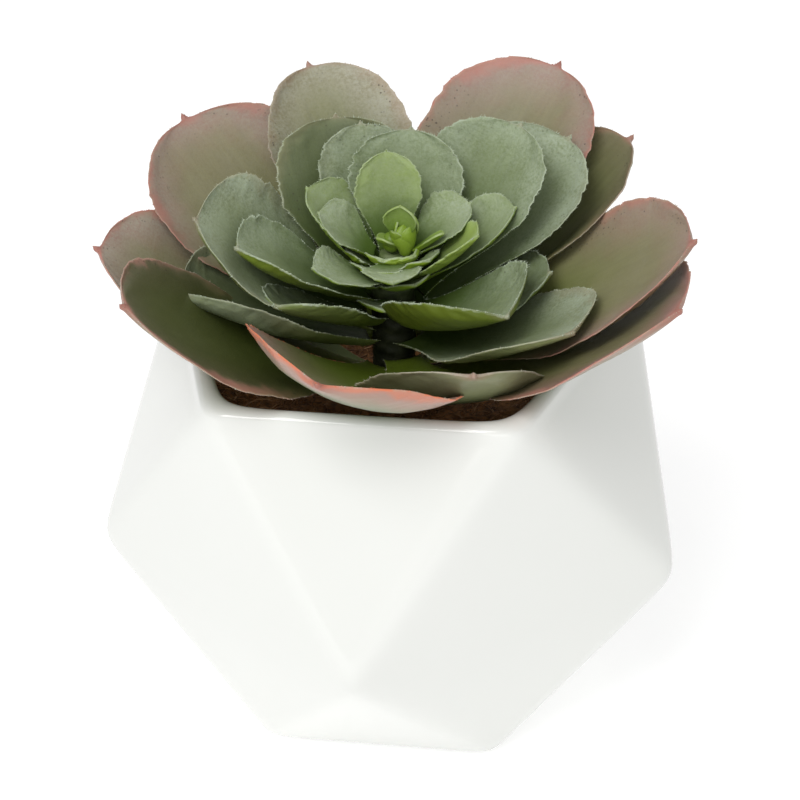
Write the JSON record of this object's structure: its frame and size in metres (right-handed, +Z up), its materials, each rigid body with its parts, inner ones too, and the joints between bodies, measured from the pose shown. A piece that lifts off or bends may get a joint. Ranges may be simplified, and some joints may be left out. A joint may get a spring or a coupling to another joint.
{
  "type": "potted succulent",
  "caption": "Open rosette succulent with broad cupped leaves on a short stem, growing in potting mix in a small faceted five-sided ceramic pot.",
  "frame": {"origin": "centre of the pot's flat bottom, on the pot's axis", "axes": "+Z up along the pot's axis; -Y towards the ridge of the pot's waist that faces the viewer; +X to the viewer's right"},
  "size_m": [0.1051, 0.0989, 0.1093],
  "materials": {
    "white_glaze": "smooth white gloss glaze on ceramic",
    "potting_mix": "rough brown fibrous potting mix",
    "stem_skin": "dull green-brown plant stem",
    "outer_leaf": "waxy leaf, grey-green to mauve, with pink rims",
    "middle_leaf": "waxy sage-green leaf with a pale bloom",
    "inner_leaf": "waxy pale green leaf with frosted rims",
    "heart_leaf": "fresh yellow-green bud leaves"
  },
  "bodies": {
    "root": {"pot": "white_glaze", "potting_mix": "potting_mix", "stem": "stem_skin", "outer_leaf_1": "outer_leaf", "outer_leaf_2": "outer_leaf", "outer_leaf_3": "outer_leaf", "outer_leaf_4": "outer_leaf", "outer_leaf_5": "outer_leaf", "outer_leaf_6": "outer_leaf", "outer_leaf_7": "outer_leaf", "outer_leaf_8": "outer_leaf", "outer_leaf_9": "outer_leaf", "outer_leaf_10": "outer_leaf", "middle_leaf_1": "middle_leaf", "middle_leaf_2": "middle_leaf", "middle_leaf_3": "middle_leaf", "middle_leaf_4": "middle_leaf", "middle_leaf_5": "middle_leaf", "middle_leaf_6": "middle_leaf", "middle_leaf_7": "middle_leaf", "middle_leaf_8": "middle_leaf", "middle_leaf_9": "middle_leaf", "middle_leaf_10": "middle_leaf", "middle_leaf_11": "middle_leaf", "middle_leaf_12": "middle_leaf", "inner_leaf_1": "inner_leaf", "inner_leaf_2": "inner_leaf", "inner_leaf_3": "inner_leaf", "inner_leaf_4": "inner_leaf", "inner_leaf_5": "inner_leaf", "inner_leaf_6": "inner_leaf", "inner_leaf_7": "inner_leaf", "inner_leaf_8": "inner_leaf", "heart": "heart_leaf"}
  },
  "joints": []
}
